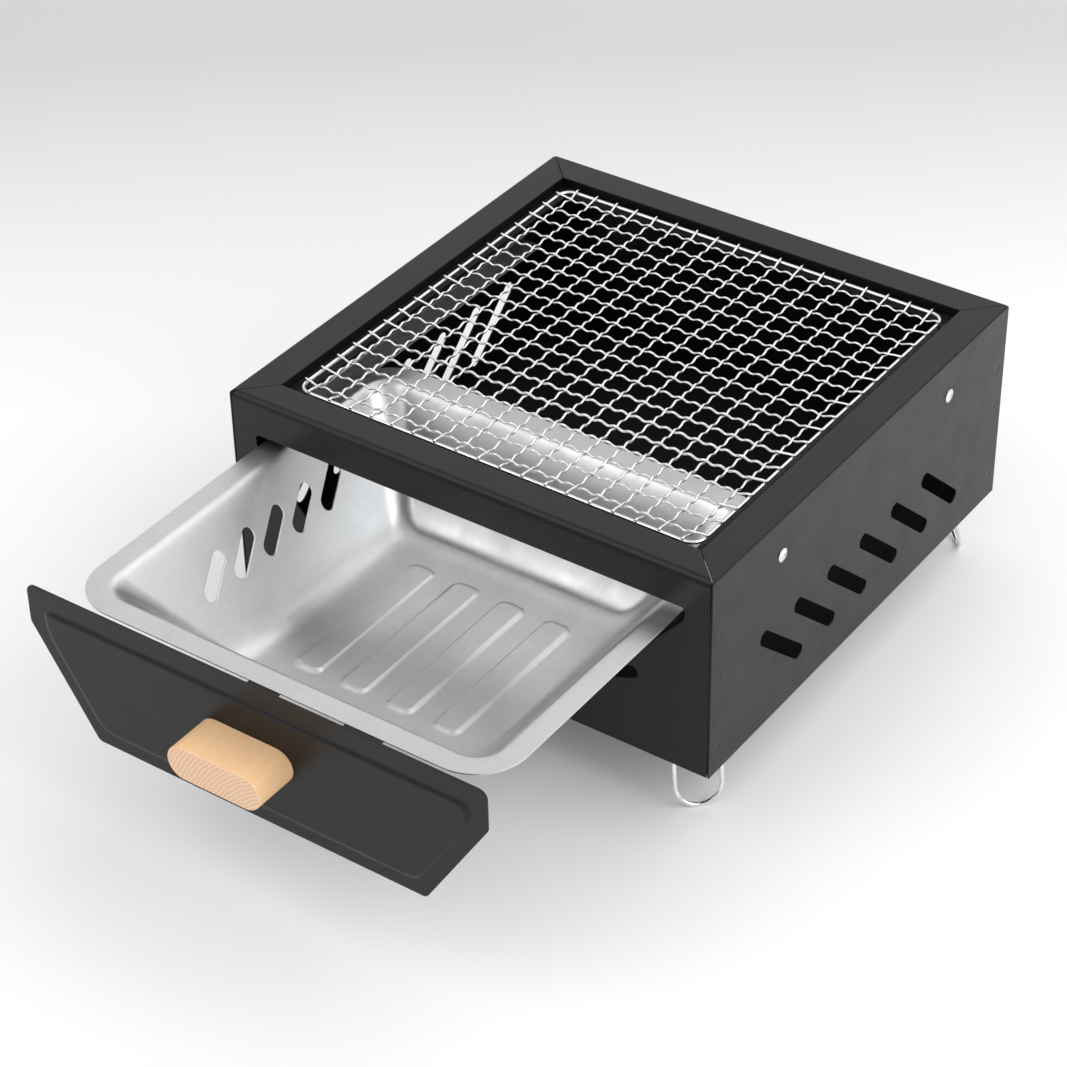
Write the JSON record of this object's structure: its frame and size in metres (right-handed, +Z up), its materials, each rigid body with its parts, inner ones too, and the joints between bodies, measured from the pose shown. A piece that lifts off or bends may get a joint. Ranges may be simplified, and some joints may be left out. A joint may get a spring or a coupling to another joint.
{
  "type": "hibachi grill",
  "caption": "Square sheet-steel table grill with a lift-off wire net, a pull-out charcoal drawer with a wooden handle, vented sides and folding wire legs.",
  "frame": {"origin": "middle of the footprint on the table, with the drawer pulled out as drawn", "axes": "+X to the right and -Y out towards the user, along the drawer's travel; +Z up"},
  "size_m": [0.3534, 0.5802, 0.184],
  "materials": {
    "black_coat": "satin black powder coat",
    "galvanised": "galvanised sheet, streaked by pressing",
    "bright_steel": "zinc-plated fasteners",
    "plated_wire": "bright nickel-plated wire",
    "beech": "sanded beech, unvarnished"
  },
  "bodies": {
    "grill_body": {"front_panel": "black_coat", "back_panel": "black_coat", "left_side_panel": "black_coat", "right_side_panel": "black_coat", "bottom_plate": "black_coat", "left_slide_rail": "galvanised", "right_slide_rail": "galvanised", "rail_screws": "bright_steel", "rail_nuts": "bright_steel", "leg_clips": "galvanised", "leg_clip_rivets": "black_coat"},
    "net": {"net_rim": "plated_wire", "net_long_wires": "plated_wire", "net_cross_wires": "plated_wire"},
    "drawer": {"charcoal_pan": "galvanised", "drawer_front": "black_coat", "pan_hooks": "black_coat", "drawer_handle": "beech", "handle_screws": "bright_steel"},
    "front_left_leg": {"front_left_leg": "plated_wire"},
    "front_right_leg": {"front_right_leg": "plated_wire"},
    "rear_left_leg": {"rear_left_leg": "plated_wire"},
    "rear_right_leg": {"rear_right_leg": "plated_wire"}
  },
  "joints": [
    {"name": "drawer_slide", "type": "slide", "parent": "grill_body", "child": "drawer", "axis": [0, -1, 0], "range_m": [-0.198, 0.125]},
    {"name": "net_lift", "type": "slide", "parent": "grill_body", "child": "net", "axis": [0, 0, 1], "range_m": [0, 0.12]},
    {"name": "front_left_leg_fold", "type": "hinge", "parent": "grill_body", "child": "front_left_leg", "pos_m": [-0.15132, -0.03617, 0.04544], "axis": [0.7071, -0.7071, 0], "range_deg": [0, 103]},
    {"name": "front_right_leg_fold", "type": "hinge", "parent": "grill_body", "child": "front_right_leg", "pos_m": [0.15132, -0.03617, 0.04544], "axis": [0.7071, 0.7071, 0], "range_deg": [0, 103]},
    {"name": "rear_left_leg_fold", "type": "hinge", "parent": "grill_body", "child": "rear_left_leg", "pos_m": [-0.15132, 0.26647, 0.04544], "axis": [-0.7071, -0.7071, 0], "range_deg": [0, 103]},
    {"name": "rear_right_leg_fold", "type": "hinge", "parent": "grill_body", "child": "rear_right_leg", "pos_m": [0.15132, 0.26647, 0.04544], "axis": [-0.7071, 0.7071, 0], "range_deg": [0, 103]}
  ]
}
